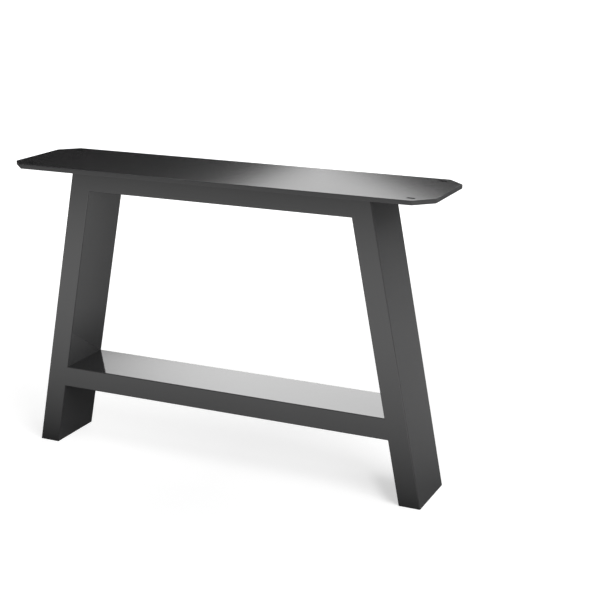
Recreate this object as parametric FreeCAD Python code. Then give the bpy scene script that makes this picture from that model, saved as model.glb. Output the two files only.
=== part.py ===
import FreeCAD
import Part

import math
import os

# A splayed trestle table leg, welded from rectangular steel tube under a mounting plate.
# Millimetres. The origin is on the floor, midway between the feet. X runs along the trestle,
# Y across it and Z up. The part is the same on both sides of X = 0, and of Y = 0.

# Frame
overall_height = 700.0       # floor to the upper face of the plate
foot_spread = 1000.0         # outside of one leg to outside of the other, on the floor
top_spread = 740.0           # the same, where the legs meet the plate
stretcher_clearance = 150.0  # floor to the underside of the stretcher

# Rectangular tube, the same for the legs, the top rail and the stretcher
tube_depth = 150.0           # across the trestle
tube_width = 50.0            # seen from the front
tube_wall = 3.0
tube_corner_radius = 2.0     # outside
tube_bore_radius = 1.0       # inside corners

# Plate that the table top is screwed to
plate_thickness = 10.0
plate_end_overhang = 150.0   # beyond the outside of each leg
plate_side_overhang = 50.0   # beyond the front and back of the tubes
plate_corner_cut = 40.0      # along each edge
plate_edge_round = 1.0       # broken edge round the outline

# Screw slots near the plate's corners, lying along X so that a wooden top can shrink and swell
slot_travel = 10.0           # between the centres of the slot's round ends
slot_width = 10.0
slot_end_inset = 50.0        # slot centre from the plate's end
slot_side_inset = 25.0       # slot centre from the plate's long edge

# Closing plates let into the lower ends of the legs
foot_plate_thickness = 4.0
drain_hole_diameter = 10.0

# Weld bead round the top of the frame, under the plate
bead_reach = 3.0             # how far the bead runs past the rounded edge of the tube

# Worked out from the sizes above
plate_underside = overall_height - plate_thickness
top_rail_underside = plate_underside - tube_width
plate_length = top_spread + 2 * plate_end_overhang
plate_width = tube_depth + 2 * plate_side_overhang
lean = math.atan2((foot_spread - top_spread) / 2, plate_underside)
tube_half_width_level = tube_width / 2 / math.cos(lean)
foot_centre = foot_spread / 2 - tube_half_width_level
top_centre = top_spread / 2 - tube_half_width_level
leg_length = plate_underside / math.cos(lean)
bead_leg = tube_corner_radius + bead_reach
trim_reach = foot_spread + top_spread + overall_height + tube_depth
quarter_turn = 90.0


def point(x, y, z=0.0):
    return FreeCAD.Vector(x, y, z)


def block(low, high):
    size = high - low
    return Part.makeBox(size.x, size.y, size.z, low)


def rounded_rectangle(size_x, size_y, radius):
    # A closed outline about the origin, each turn adding one side and the corner that ends it.
    edges = []
    for turn in range(4):
        reach, rise = (size_x / 2, size_y / 2) if turn % 2 == 0 else (size_y / 2, size_x / 2)
        diagonal = radius / math.sqrt(2)
        corner_centre = point(reach - radius, rise - radius)
        corner_start = point(reach, rise - radius)
        corner_middle = corner_centre + point(diagonal, diagonal)
        corner_end = point(reach - radius, rise)
        side = Part.LineSegment(point(reach, radius - rise), corner_start).toShape()
        corner = Part.Arc(corner_start, corner_middle, corner_end).toShape()
        for edge in (side, corner):
            edge.rotate(point(0, 0), point(0, 0, 1), quarter_turn * turn)
            edges.append(edge)
    return Part.Wire(edges)


def round_ended_slot(travel, width):
    # A closed outline about the origin, with its straight sides along X.
    radius = width / 2
    end = travel / 2
    sides = [
        Part.LineSegment(point(-end, -radius), point(end, -radius)),
        Part.Arc(point(end, -radius), point(end + radius, 0), point(end, radius)),
        Part.LineSegment(point(end, radius), point(-end, radius)),
        Part.Arc(point(-end, radius), point(-end - radius, 0), point(-end, -radius)),
    ]
    return Part.Wire([side.toShape() for side in sides])


def tube_bar(length):
    # The outside of the tube as a solid bar along Z, centred on the origin.
    section = Part.Face(rounded_rectangle(tube_width, tube_depth, tube_corner_radius))
    section.translate(point(0, 0, -length / 2))
    return section.extrude(point(0, 0, length))


def tube_bore(length):
    # What is hollow inside the tube.
    width = tube_width - 2 * tube_wall
    depth = tube_depth - 2 * tube_wall
    section = Part.Face(rounded_rectangle(width, depth, tube_bore_radius))
    section.translate(point(0, 0, -length / 2))
    return section.extrude(point(0, 0, length))


def set_on_leg(shape, side):
    # Carries a shape from the tube's own frame to the leg on that side, -1 left or 1 right.
    middle = point(side * (foot_centre + top_centre) / 2, 0, plate_underside / 2)
    turn = FreeCAD.Rotation(point(0, 1, 0), -side * math.degrees(lean))
    shape.Placement = FreeCAD.Placement(middle, turn)
    return shape


def between_levels(shape, low, high):
    layer = block(point(-trim_reach, -trim_reach, low), point(trim_reach, trim_reach, high))
    return shape.common(layer)


def leg_form(form, side):
    # A bar or bore set at the leg's slope and cut level at the floor and at the plate.
    long_form = set_on_leg(form(leg_length + 2 * tube_width), side)
    return between_levels(long_form, 0.0, plate_underside)


def leg(side):
    return leg_form(tube_bar, side).cut(leg_form(tube_bore, side))


def foot_plate(side):
    # Fills the end of the leg's bore, with a hole that drains the tube while it is coated.
    plate = between_levels(leg_form(tube_bore, side), 0.0, foot_plate_thickness)
    hole = Part.makeCylinder(drain_hole_diameter / 2, foot_plate_thickness)
    hole.translate(point(side * foot_centre, 0))
    return plate.cut(hole)


def past_leg_face(side, near, far):
    # Everything between two depths past the inner face of a leg.
    start = side * (near - tube_width / 2)
    end = side * (far - tube_width / 2)
    low = point(min(start, end), -trim_reach, -trim_reach)
    high = point(max(start, end), trim_reach, trim_reach)
    return set_on_leg(block(low, high), side)


def rail_form(form, underside):
    # A level bar or bore along X, long enough to pass through both legs.
    level_form = form(max(foot_spread, top_spread))
    level_form.rotate(point(0, 0), point(0, 1, 0), quarter_turn)
    level_form.translate(point(0, 0, underside + tube_width / 2))
    return level_form


def between_legs(shape, depth=0.0):
    # What lies between the inner faces of the legs, or up to a depth past them.
    for side in (-1, 1):
        shape = shape.cut(past_leg_face(side, depth, trim_reach))
    return shape


def rail(underside):
    # A level tube with its ends cut at the slope of the legs, so that they lie flat on them.
    return between_legs(rail_form(tube_bar, underside).cut(rail_form(tube_bore, underside)))


def seam_welds(underside):
    # Weld ground flush at a rail's ends, filling the grooves beside the legs' rounded edges.
    welds = []
    for side in (-1, 1):
        groove = rail_form(tube_bar, underside).common(past_leg_face(side, 0.0, tube_corner_radius))
        welds += groove.cut(leg_form(tube_bar, side)).Solids
    return Part.makeCompound(welds)


def frame_outline(growth, level):
    # The outline of the top of the welded frame, grown all round.
    length = top_spread + 2 * growth
    depth = tube_depth + 2 * growth
    outline = rounded_rectangle(length, depth, tube_corner_radius + growth)
    outline.translate(point(0, 0, level))
    return outline


def plate_weld():
    # One bead round the frame, sloping from the plate's underside to the faces of the tubes.
    lower = frame_outline(0.0, plate_underside - bead_leg)
    upper = frame_outline(bead_leg, plate_underside)
    bead = Part.makeLoft([lower, upper], True, True)
    bead = bead.cut(between_legs(rail_form(tube_bar, top_rail_underside), tube_corner_radius))
    for side in (-1, 1):
        bead = bead.cut(leg_form(tube_bar, side))
    return bead


def plate_blank():
    # The plate before its slots are cut, with its four corners taken off.
    end = plate_length / 2
    edge = plate_width / 2
    corners = []
    for side_x, side_y in ((1, 1), (-1, 1), (-1, -1), (1, -1)):
        on_end = point(side_x * end, side_y * (edge - plate_corner_cut), plate_underside)
        on_edge = point(side_x * (end - plate_corner_cut), side_y * edge, plate_underside)
        corners += [on_end, on_edge] if side_x == side_y else [on_edge, on_end]
    outline = Part.Face(Part.makePolygon(corners + corners[:1]))
    blank = outline.extrude(point(0, 0, plate_thickness))
    rims = [rim for rim in blank.Edges if rim.BoundBox.ZLength < plate_thickness / 2]
    return blank.makeFillet(plate_edge_round, rims)


def top_plate():
    plate = plate_blank()
    slot_x = plate_length / 2 - slot_end_inset
    slot_y = plate_width / 2 - slot_side_inset
    for side_x in (-1, 1):
        for side_y in (-1, 1):
            slot = Part.Face(round_ended_slot(slot_travel, slot_width))
            slot.translate(point(side_x * slot_x, side_y * slot_y, plate_underside))
            plate = plate.cut(slot.extrude(point(0, 0, plate_thickness)))
    return plate


def trestle():
    return {
        "top_plate": top_plate(),
        "plate_weld": plate_weld(),
        "left_leg": leg(-1),
        "right_leg": leg(1),
        "top_rail": rail(top_rail_underside),
        "top_rail_seam_welds": seam_welds(top_rail_underside),
        "stretcher": rail(stretcher_clearance),
        "stretcher_seam_welds": seam_welds(stretcher_clearance),
        "left_foot_plate": foot_plate(-1),
        "right_foot_plate": foot_plate(1),
    }


os.makedirs("parts", exist_ok=True)
for name, shape in trestle().items():
    shape.exportStep(os.path.join("parts", name + ".step"))
    print(name, len(shape.Solids), "solids", round(shape.Volume), "mm3")
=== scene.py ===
import math

import bpy
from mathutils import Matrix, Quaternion, Vector


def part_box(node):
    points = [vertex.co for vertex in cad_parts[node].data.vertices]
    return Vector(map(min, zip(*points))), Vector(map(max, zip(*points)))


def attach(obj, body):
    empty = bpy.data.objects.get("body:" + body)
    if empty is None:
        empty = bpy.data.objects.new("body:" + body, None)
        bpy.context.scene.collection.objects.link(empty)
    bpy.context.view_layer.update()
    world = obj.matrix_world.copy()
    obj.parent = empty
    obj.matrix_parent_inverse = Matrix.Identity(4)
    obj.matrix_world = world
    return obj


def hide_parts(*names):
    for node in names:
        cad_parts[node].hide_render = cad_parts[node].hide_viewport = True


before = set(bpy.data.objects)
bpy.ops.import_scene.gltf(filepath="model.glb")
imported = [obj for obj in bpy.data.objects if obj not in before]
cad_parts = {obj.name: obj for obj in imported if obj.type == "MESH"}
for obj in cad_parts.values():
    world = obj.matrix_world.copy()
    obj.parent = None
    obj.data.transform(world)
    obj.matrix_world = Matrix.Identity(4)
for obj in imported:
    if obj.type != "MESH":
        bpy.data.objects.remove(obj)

# Splayed trestle table leg in black powder coat. Metres, feet on z = 0, front of the trestle towards -Y.
scene = bpy.context.scene
scene.view_settings.view_transform = "Standard"
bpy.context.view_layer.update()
up = Vector((0.0, 0.0, 1.0))
print("frame loaded,", len(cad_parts), "CAD nodes")


# Node helpers

def addNode(tree, kind, **settings):
    node = tree.nodes.new(kind)
    for name, value in settings.items():
        setattr(node, name, value)
    return node


def mathNode(tree, operation, first, second=None):
    node = addNode(tree, "ShaderNodeMath", operation=operation)
    for socket, value in zip(node.inputs, (first, second)):
        if isinstance(value, (int, float)):
            socket.default_value = value
        elif value is not None:
            tree.links.new(value, socket)
    return node.outputs["Value"]


def rangeNode(tree, value, fromMin, fromMax, toMin, toMax, smooth=False):
    node = addNode(tree, "ShaderNodeMapRange", interpolation_type="SMOOTHSTEP" if smooth else "LINEAR")
    tree.links.new(value, node.inputs["Value"])
    limits = {"From Min": fromMin, "From Max": fromMax, "To Min": toMin, "To Max": toMax}
    for name, number in limits.items():
        node.inputs[name].default_value = number
    return node.outputs["Result"]


def emptyMaterial(name):
    material = bpy.data.materials.new(name)
    material.use_nodes = True
    material.node_tree.nodes.clear()
    return material


# Black powder coat: a dark satin skin, smooth enough to mirror, with a faint orange peel

powderCoat = {
    "colour": (0.023, 0.023, 0.0237),
    "colourThin": (0.026, 0.026, 0.0268),   # where the powder lies a little thinner
    "patches": {"scale": 5.0, "detail": 3.0, "range": (0.35, 0.65)},    # colour, per metre
    "gloss": {"scale": 150.0, "detail": 4.0, "range": (0.3, 0.7)},
    "roughness": (0.072, 0.096),
    "peel": {"scale": 380.0, "detail": 1.0},                            # orange peel dimples
    "peelHeight": 0.000008,
    "ior": 1.5,
}


def noiseNode(tree, coordinates, noise):
    node = addNode(tree, "ShaderNodeTexNoise", noise_dimensions="3D")
    node.inputs["Scale"].default_value = noise["scale"]
    node.inputs["Detail"].default_value = noise["detail"]
    tree.links.new(coordinates, node.inputs["Vector"])
    return node.outputs["Fac"]


def blackPowderCoat(name, coat):
    material = emptyMaterial(name)
    tree = material.node_tree
    coordinates = addNode(tree, "ShaderNodeTexCoord").outputs["Object"]
    patches = noiseNode(tree, coordinates, coat["patches"])
    gloss = noiseNode(tree, coordinates, coat["gloss"])
    peel = noiseNode(tree, coordinates, coat["peel"])

    colour = addNode(tree, "ShaderNodeMix", data_type="RGBA")
    thin = rangeNode(tree, patches, *coat["patches"]["range"], 0.0, 1.0)
    tree.links.new(thin, colour.inputs["Factor"])
    colour.inputs["A"].default_value = (*coat["colour"], 1.0)
    colour.inputs["B"].default_value = (*coat["colourThin"], 1.0)

    bump = addNode(tree, "ShaderNodeBump")
    bump.inputs["Distance"].default_value = coat["peelHeight"]
    tree.links.new(peel, bump.inputs["Height"])

    shader = addNode(tree, "ShaderNodeBsdfPrincipled")
    shader.inputs["IOR"].default_value = coat["ior"]
    rough = rangeNode(tree, gloss, *coat["gloss"]["range"], *coat["roughness"])
    tree.links.new(colour.outputs["Result"], shader.inputs["Base Color"])
    tree.links.new(rough, shader.inputs["Roughness"])
    tree.links.new(bump.outputs["Normal"], shader.inputs["Normal"])

    output = addNode(tree, "ShaderNodeOutputMaterial")
    tree.links.new(shader.outputs["BSDF"], output.inputs["Surface"])
    return material


coated = blackPowderCoat("black_powder_coat", powderCoat)
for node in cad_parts.values():
    node.data.materials.clear()
    node.data.materials.append(coated)
print("powder coat on", len(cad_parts), "nodes")


# Weld bead in the corner under the plate: a rippled fillet that runs once round the top of the frame

plateBead = {
    "pitch": 0.0045,          # from one ripple to the next
    "ripple": 0.00025,        # height of a ripple
    "sweep": 0.4,             # how far the middle of a ripple runs ahead of its ends, in ripples
    "crown": 0.0005,          # swell of the bead past a straight slope
    "waver": 0.0003,          # unevenness of the bead's two edges
    "waverTurns": (23, 41),   # slow waves round the frame, on the tube and on the plate
    "lap": 0.0003,            # reaches into the steel, so that no gap shows
    "tubeEdge": 0.002,        # rounded edge of the tube that the bead follows
    "across": 7,              # faces across the bead
    "perRipple": 6,           # and along each ripple
}


def frameRuns(halfLength, halfDepth, edge, middle):
    # straight sides and rounded corners in order, each with its length along the middle of the bead
    runs = []
    for turn in range(4):
        reach, rise = (halfLength, halfDepth) if turn % 2 == 0 else (halfDepth, halfLength)
        facing = turn * math.pi / 2
        runs.append({"facing": facing, "reach": reach, "rise": rise - edge, "edge": 0.0,
                     "length": 2 * (rise - edge)})
        runs.append({"facing": facing, "reach": reach - edge, "rise": rise - edge, "edge": edge,
                     "length": (edge + middle) * math.pi / 2})
    return runs


def placeOnRun(run, travel):
    # point on the tube's face, and the way out from it
    out = Vector((math.cos(run["facing"]), math.sin(run["facing"]), 0.0))
    along = Vector((-out.y, out.x, 0.0))
    if run["edge"] == 0.0:
        return out * run["reach"] + along * (travel - run["rise"]), out
    turned = Quaternion(up, travel / run["length"] * math.pi / 2) @ out
    return out * run["reach"] + along * run["rise"] + turned * run["edge"], turned


def beadSection(bead, leg, ripples, lapped):
    # outward and downward offsets across the bead, from the tube to the plate
    onTube, onPlate = (bead["waver"] * math.sin(2 * math.pi * turns * lapped)
                       for turns in bead["waverTurns"])
    points = [(-bead["lap"], -leg - onTube)]
    for step in range(bead["across"] + 1):
        share = step / bead["across"]
        middle = 4 * share * (1 - share)
        phase = 2 * math.pi * (ripples - bead["sweep"] * middle)
        swell = bead["crown"] * middle + bead["ripple"] * math.sqrt(middle) * math.cos(phase)
        swell /= math.sqrt(2)    # half of it outward, half downward
        points.append(((leg + onPlate) * share + swell, -(leg + onTube) * (1 - share) - swell))
    points += [(leg + onPlate, bead["lap"]), (-bead["lap"], bead["lap"])]
    return points


def addPlateBead(bead, material):
    low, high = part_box("plate_weld")
    leg = high.z - low.z
    runs = frameRuns(high.x - leg, high.y - leg, bead["tubeEdge"], leg / 2)
    around = sum(run["length"] for run in runs)
    stations = round(around / bead["pitch"]) * bead["perRipple"]
    points = []
    run, passed = 0, 0.0
    for station in range(stations):
        travel = around * station / stations
        while travel > passed + runs[run]["length"]:
            passed += runs[run]["length"]
            run += 1
        start, out = placeOnRun(runs[run], travel - passed)
        for outward, drop in beadSection(bead, leg, station / bead["perRipple"], station / stations):
            points.append(start + out * outward + up * (high.z + drop))

    ring = len(points) // stations
    faces = []
    for station in range(stations):
        here, there = station * ring, (station + 1) % stations * ring
        for step in range(ring):
            beside = (step + 1) % ring
            faces.append((here + step, there + step, there + beside, here + beside))
    mesh = bpy.data.meshes.new("plate_weld_bead")
    mesh.from_pydata(points, [], faces)
    mesh.materials.append(material)
    mesh.shade_smooth()
    piece = bpy.data.objects.new("plate_weld_bead", mesh)
    scene.collection.objects.link(piece)
    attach(piece, "root")
    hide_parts("plate_weld")
    return len(faces)


print("weld bead under the plate,", addPlateBead(plateBead, coated), "faces")


# Camera at the photograph's viewing angle

viewCamera = {
    "azimuth": 24.661,               # degrees round from the front, towards the right foot
    "elevation": 16.087,
    "distance": 3.0433,
    "target": (0.1746, 0.0, 0.4209),
    "lens": 80.947,                  # mm, on a square sensor 36 mm wide
    "sensor": 36.0,
    "roll": 0.09,                    # degrees, right side of the picture down
}


def headingOf(degrees):
    angle = math.radians(degrees)
    return Vector((-math.sin(angle), math.cos(angle), 0.0))


def addCamera(view):
    camera = bpy.data.objects.new("viewCamera", bpy.data.cameras.new("viewCamera"))
    scene.collection.objects.link(camera)
    camera.data.lens = view["lens"]
    camera.data.sensor_width = view["sensor"]
    camera.data.sensor_fit = "HORIZONTAL"
    rise = math.radians(view["elevation"])
    back = headingOf(view["azimuth"]) * -math.cos(rise) + up * math.sin(rise)
    camera.location = Vector(view["target"]) + back * view["distance"]
    level = back.to_track_quat("Z", "Y")
    camera.rotation_euler = (level @ Quaternion(up, math.radians(view["roll"]))).to_euler()
    scene.camera = camera


addCamera(viewCamera)
print("camera set")


# Floor: white to the camera, apart from the trestle's shadow, with painted light on the left and a
# painted shadow beside the right foot.
# In the coat's gloss its white is painted: dark beside the trestle and coming up further away, as one
# painted pool of light in front and one behind.

studioFloor = {
    "halfSize": 30.0,
    "grey": 0.5,               # takes the shadow
    "mirrorGrey": 0.26,        # a darker grey for the gloss only: painted shade on the floor as the coat mirrors it
    # light added for the camera, from beside the trestle to where the lamps no longer reach
    "white": {"near": 0.685, "far": 1.0, "nearRadius": 0.6, "farRadius": 3.0},
    "paintedLeftLight": {"light": 0.12, "full": -0.65, "none": 0.0},    # painted light: a little more of it on the left, along X, which lightens the trestle's shadow there
    # painted shadow: a soft dark patch beside the right foot, taken off the camera's white
    "paintedFootShadow": {"light": 0.14, "slant": -0.65, "rise": (0.35, 0.395), "fall": (0.44, 0.47),
                   "start": (-0.085, -0.055), "end": (0.03, 0.11)},
    # painted pools of light, seen only in the gloss, in front of the trestle and behind it
    "frontPool": {"light": 2.2, "rise": 0.55, "far": 5.4, "farFade": 4.8, "farShare": 0.0,
                  "halfWidth": 4.0, "sideFade": 1.0},
    "backPool": {"light": 0.325, "rise": 0.5, "far": 8.0, "farFade": 7.0, "farShare": 0.45,
                 "halfWidth": 8.0, "sideFade": 2.0},
    # painted streak of light across the pool behind, seen only in the gloss, running back and to the
    # right
    "streak": {"light": 0.173, "slant": 0.625, "rise": (-0.53, -0.4), "fall": (-0.25, -0.05),
               "start": (0.0, 0.1), "end": (1.7, 2.4)},
    "shade": (-0.27, -0.07),   # painted shadow of the trestle over the pool behind: where the pool comes out of it, along X
}


def addSheet(name, halfWidth, halfHeight, material):
    mesh = bpy.data.meshes.new(name)
    corners = [(-halfWidth, -halfHeight, 0), (halfWidth, -halfHeight, 0),
               (halfWidth, halfHeight, 0), (-halfWidth, halfHeight, 0)]
    mesh.from_pydata(corners, [], [(0, 1, 2, 3)])
    mesh.materials.append(material)
    sheet = bpy.data.objects.new(name, mesh)
    scene.collection.objects.link(sheet)
    return sheet


def fadeIn(tree, distance, width):
    return rangeNode(tree, distance, 0.0, width, 0.0, 1.0, smooth=True)


def poolLevel(tree, distance, aside, pool):
    # quick rise from the trestle outwards, and a long fade to the far edge
    away = mathNode(tree, "MAXIMUM", distance, 0.0)
    gone = mathNode(tree, "EXPONENT", mathNode(tree, "DIVIDE", away, -pool["rise"]))
    level = mathNode(tree, "SUBTRACT", pool["light"], mathNode(tree, "MULTIPLY", gone, pool["light"]))
    toFar = mathNode(tree, "SUBTRACT", pool["far"], away)
    level = mathNode(tree, "MULTIPLY", level,
                     rangeNode(tree, toFar, 0.0, pool["farFade"], pool["farShare"], 1.0, smooth=True))
    toSide = mathNode(tree, "SUBTRACT", pool["halfWidth"], mathNode(tree, "ABSOLUTE", aside))
    return mathNode(tree, "MULTIPLY", level, fadeIn(tree, toSide, pool["sideFade"]))


def streakLevel(tree, axes, streak):
    # painted slanting band, used for the painted streak of light and the painted shadow by the right
    # foot: rise and fall are its soft sides across, start and end its soft ends along Y
    slanted = mathNode(tree, "MULTIPLY", axes.outputs["Y"], streak["slant"])
    across = mathNode(tree, "SUBTRACT", axes.outputs["X"], slanted)
    level = rangeNode(tree, across, *streak["rise"], 0.0, streak["light"], smooth=True)
    fades = (rangeNode(tree, across, *streak["fall"], 1.0, 0.0, smooth=True),
             rangeNode(tree, axes.outputs["Y"], *streak["start"], 0.0, 1.0, smooth=True),
             rangeNode(tree, axes.outputs["Y"], *streak["end"], 1.0, 0.0, smooth=True))
    for fade in fades:
        level = mathNode(tree, "MULTIPLY", level, fade)
    return level


def mirrorRays(tree, path):
    return mathNode(tree, "MAXIMUM", path.outputs["Is Glossy Ray"], path.outputs["Is Transmission Ray"])


def whiteForCamera(tree, coordinates, axes, floor):
    reach = addNode(tree, "ShaderNodeVectorMath", operation="LENGTH")
    tree.links.new(coordinates, reach.inputs[0])
    white = floor["white"]
    level = rangeNode(tree, reach.outputs["Value"], white["nearRadius"], white["farRadius"],
                      white["near"], white["far"], smooth=True)
    # painted light: more of the camera's white on the left
    lift = floor["paintedLeftLight"]
    lifted = rangeNode(tree, axes.outputs["X"], lift["full"], lift["none"], lift["light"], 0.0)
    level = mathNode(tree, "ADD", level, lifted)
    # painted shadow beside the right foot, taken off the camera's white
    return mathNode(tree, "SUBTRACT", level, streakLevel(tree, axes, floor["paintedFootShadow"]))


def poolsInGloss(tree, axes, floor, frontEdge, backEdge):
    # painted pools of light and the painted streak, glowing in the floor for the gloss only
    ahead = mathNode(tree, "SUBTRACT", frontEdge, axes.outputs["Y"])
    behind = mathNode(tree, "SUBTRACT", axes.outputs["Y"], backEdge)
    front = poolLevel(tree, ahead, axes.outputs["X"], floor["frontPool"])
    back = mathNode(tree, "ADD", poolLevel(tree, behind, axes.outputs["X"], floor["backPool"]),
                    streakLevel(tree, axes, floor["streak"]))
    # painted shadow of the trestle, taken off the pool behind
    clear = rangeNode(tree, axes.outputs["X"], *floor["shade"], 0.0, 1.0, smooth=True)
    return mathNode(tree, "ADD", front, mathNode(tree, "MULTIPLY", back, clear))


def floorMaterial(floor, frontEdge, backEdge):
    material = emptyMaterial("studio_floor")
    material.cycles.emission_sampling = "NONE"
    tree = material.node_tree
    path = addNode(tree, "ShaderNodeLightPath")
    inGloss = mirrorRays(tree, path)
    coordinates = addNode(tree, "ShaderNodeTexCoord").outputs["Object"]
    axes = addNode(tree, "ShaderNodeSeparateXYZ")
    tree.links.new(coordinates, axes.inputs["Vector"])

    paint = addNode(tree, "ShaderNodeBsdfDiffuse")
    # the floor's grey, darker in the gloss: painted shade in its reflection
    grey = rangeNode(tree, inGloss, 0.0, 1.0, floor["grey"], floor["mirrorGrey"])
    tree.links.new(grey, paint.inputs["Color"])
    glow = addNode(tree, "ShaderNodeEmission")
    seen = mathNode(tree, "MULTIPLY", whiteForCamera(tree, coordinates, axes, floor),
                    path.outputs["Is Camera Ray"])
    mirrored = mathNode(tree, "MULTIPLY", poolsInGloss(tree, axes, floor, frontEdge, backEdge), inGloss)
    tree.links.new(mathNode(tree, "ADD", seen, mirrored), glow.inputs["Strength"])

    both = addNode(tree, "ShaderNodeAddShader")
    tree.links.new(paint.outputs["BSDF"], both.inputs[0])
    tree.links.new(glow.outputs["Emission"], both.inputs[1])
    output = addNode(tree, "ShaderNodeOutputMaterial")
    tree.links.new(both.outputs["Shader"], output.inputs["Surface"])
    return material


frontEdge, backEdge = (corner.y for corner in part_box("stretcher"))
addSheet("studioFloor", studioFloor["halfSize"], studioFloor["halfSize"],
         floorMaterial(studioFloor, frontEdge, backEdge))


# World: white behind everything for the camera, and overhead in the coat's gloss, dark round the sides

studioWorld = {
    "white": 1.0,
    "dim": 0.019,
    "overhead": 0.9,
    "fade": (0.28, 0.8),    # sine of the height at which the overhead white starts and is full
}


def addWorld(levels):
    world = bpy.data.worlds.new("studioWorld")
    world.use_nodes = True
    tree = world.node_tree
    path = addNode(tree, "ShaderNodeLightPath")
    axes = addNode(tree, "ShaderNodeSeparateXYZ")
    tree.links.new(addNode(tree, "ShaderNodeTexCoord").outputs["Generated"], axes.inputs["Vector"])
    overhead = rangeNode(tree, axes.outputs["Z"], *levels["fade"], 0.0, levels["overhead"], smooth=True)
    mirrored = mathNode(tree, "MULTIPLY", overhead, mirrorRays(tree, path))
    seen = mathNode(tree, "MULTIPLY", path.outputs["Is Camera Ray"], levels["white"])
    level = mathNode(tree, "MAXIMUM", mathNode(tree, "MAXIMUM", seen, mirrored), levels["dim"])
    background = tree.nodes["Background"]
    background.inputs["Color"].default_value = (1.0, 1.0, 1.0, 1.0)
    tree.links.new(level, background.inputs["Strength"])
    scene.world = world


addWorld(studioWorld)
print("floor and background set")


# Soft light cards: glowing sheets with faded edges that the camera doesn't see

def fadedBox(halfSize, fade):
    # fade: how wide the soft edge is on the left, right, low and high side
    def cover(tree, coordinates):
        axes = addNode(tree, "ShaderNodeSeparateXYZ")
        tree.links.new(coordinates, axes.inputs["Vector"])
        inside = [mathNode(tree, "ADD", axes.outputs["X"], halfSize[0]),
                  mathNode(tree, "SUBTRACT", halfSize[0], axes.outputs["X"]),
                  mathNode(tree, "ADD", axes.outputs["Y"], halfSize[1]),
                  mathNode(tree, "SUBTRACT", halfSize[1], axes.outputs["Y"])]
        level = 1.0
        for distance, width in zip(inside, fade):
            level = mathNode(tree, "MULTIPLY", fadeIn(tree, distance, width), level)
        return level
    return cover


def fadedDiamond(reach, fade):
    def cover(tree, coordinates):
        axes = addNode(tree, "ShaderNodeSeparateXYZ")
        tree.links.new(coordinates, axes.inputs["Vector"])
        offsets = [mathNode(tree, "ABSOLUTE", axes.outputs[axis]) for axis in ("X", "Y")]
        return fadeIn(tree, mathNode(tree, "SUBTRACT", reach, mathNode(tree, "ADD", *offsets)), fade)
    return cover


def glowCard(name, halfSize, light, cover):
    material = emptyMaterial(name)
    tree = material.node_tree
    coordinates = addNode(tree, "ShaderNodeTexCoord").outputs["Object"]
    behind = addNode(tree, "ShaderNodeNewGeometry").outputs["Backfacing"]
    inFront = mathNode(tree, "SUBTRACT", 1.0, behind)
    clear = addNode(tree, "ShaderNodeBsdfTransparent")
    glow = addNode(tree, "ShaderNodeEmission")
    glow.inputs["Strength"].default_value = light
    blend = addNode(tree, "ShaderNodeMixShader")
    tree.links.new(mathNode(tree, "MULTIPLY", cover(tree, coordinates), inFront), blend.inputs["Fac"])
    tree.links.new(clear.outputs["BSDF"], blend.inputs[1])
    tree.links.new(glow.outputs["Emission"], blend.inputs[2])
    output = addNode(tree, "ShaderNodeOutputMaterial")
    tree.links.new(blend.outputs["Shader"], output.inputs["Surface"])
    card = addSheet(name, *halfSize, material)
    card.visible_camera = False
    card.visible_shadow = False
    return card


def standCard(card, place):
    # upright, facing the trestle from a bearing in degrees, from straight behind towards the left
    heading = headingOf(place["bearing"])
    right = Vector((heading.y, -heading.x, 0.0))
    card.location = heading * place["distance"] + right * place["aside"] + up * place["height"]
    card.rotation_euler = (-heading).to_track_quat("Z", "Y").to_euler()


def boxCard(name, box):
    standCard(glowCard(name, box["half"], box["light"], fadedBox(box["half"], box["fade"])), box)


def diamondCard(name, diamond):
    half = (diamond["reach"], diamond["reach"])
    card = glowCard(name, half, diamond["light"], fadedDiamond(diamond["reach"], diamond["fade"]))
    standCard(card, diamond)
    card.scale.x = diamond["stretch"]


# broad bank behind, mirrored in the stretcher's top
backBank = {
    "bearing": 24.66,
    "distance": 8.0,
    "aside": -0.25,
    "height": 4.6,
    "half": (3.15, 2.0),
    "fade": (3.2, 1.2, 0.2, 0.8),
    "light": 3.36,
}
boxCard("backBank", backBank)

# two diamonds, wider than high: the patch mirrored in the plate's top, and the dim halo round it
backPatch = {
    "bearing": 24.66,
    "distance": 8.1,
    "aside": 0.335,
    "height": 2.89,
    "stretch": 2.02,
    "reach": 1.0,
    "fade": 0.32,
    "light": 1.38,
}
backHalo = {**backPatch, "distance": 8.2, "reach": 1.5, "fade": 0.8, "light": 0.08}
diamondCard("backPatch", backPatch)
diamondCard("backHalo", backHalo)

backFill = {
    "bearing": -42.0,
    "distance": 8.0,
    "aside": 0.0,
    "height": 3.0,
    "half": (3.2, 2.7),
    "fade": (1.0, 1.0, 1.7, 0.8),
    "light": 1.3,
}
boxCard("backFill", backFill)

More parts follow.
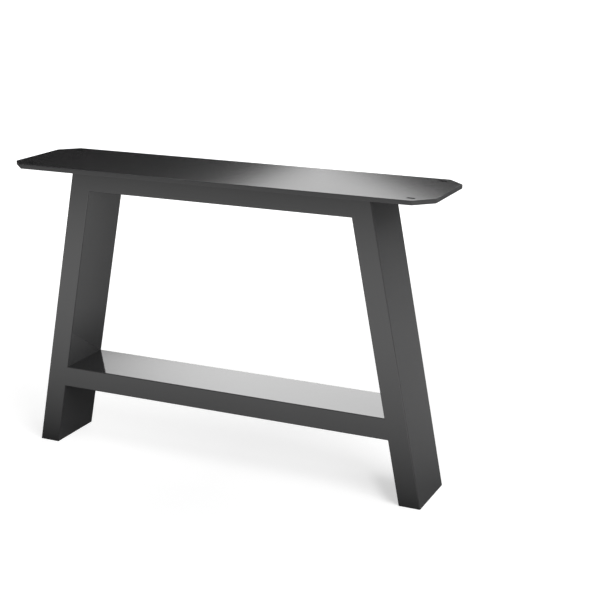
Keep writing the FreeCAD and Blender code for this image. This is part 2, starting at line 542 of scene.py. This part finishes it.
frontBank = {
    "bearing": 190.0,
    "distance": 5.0,
    "aside": 0.0,
    "height": 2.3,
    "half": (2.6, 1.5),
    "fade": (1.6, 1.6, 0.8, 0.8),
    "light": 0.9,
}
boxCard("frontBank", frontBank)

# low banks at the ends of the trestle
rightBank = {
    "bearing": -105.0,
    "distance": 6.0,
    "aside": 0.0,
    "height": 0.9,
    "half": (5.0, 0.9),
    "fade": (2.0, 2.0, 0.2, 1.5),
    "light": 1.4,
}
leftBank = {**rightBank, "bearing": 100.0, "light": 0.8}
boxCard("rightBank", rightBank)
boxCard("leftBank", leftBank)

# small bright card high up behind, that the left leg mirrors by way of the stretcher's top
highBank = {
    "bearing": -27.0,
    "distance": 8.0,
    "aside": 0.16,
    "height": 4.3,
    "half": (0.74, 0.7),
    "fade": (0.28, 0.6, 0.5, 0.55),
    "light": 6.2,
}
boxCard("highBank", highBank)

# narrow dark card on the floor behind, mirrored in the right end of the plate
darkCard = {
    "bearing": -28.4,
    "distance": 2.72,
    "aside": 0.0,
    "height": 0.2,
    "half": (0.1, 0.2),
    "fade": (0.04, 0.04, 0.02, 0.08),
    "light": 0.22,
}
boxCard("darkCard", darkCard)


# Soft boxes that light the trestle and cast its shadow, kept out of the gloss

keyBox = {
    "place": (5.3, -2.8, 3.0),
    "aim": (0.0, 0.0, 0.35),
    "size": 4.0,
    "light": 6.5,
}
topBox = {
    "place": (2.2, -0.5, 5.2),
    "aim": (0.0, 0.0, 0.0),
    "size": 5.0,
    "light": 1.5,
}


def areaLamp(name, lamp):
    light = bpy.data.objects.new(name, bpy.data.lights.new(name, "AREA"))
    scene.collection.objects.link(light)
    light.data.shape = "SQUARE"
    light.data.size = lamp["size"]
    light.data.energy = lamp["light"] * math.pi * lamp["size"] ** 2    # watts, for a square that bright
    light.location = lamp["place"]
    away = Vector(lamp["place"]) - Vector(lamp["aim"])
    light.rotation_euler = away.to_track_quat("Z", "Y").to_euler()
    light.visible_camera = False
    light.visible_glossy = False


areaLamp("keyBox", keyBox)
areaLamp("topBox", topBox)
print("lights set")
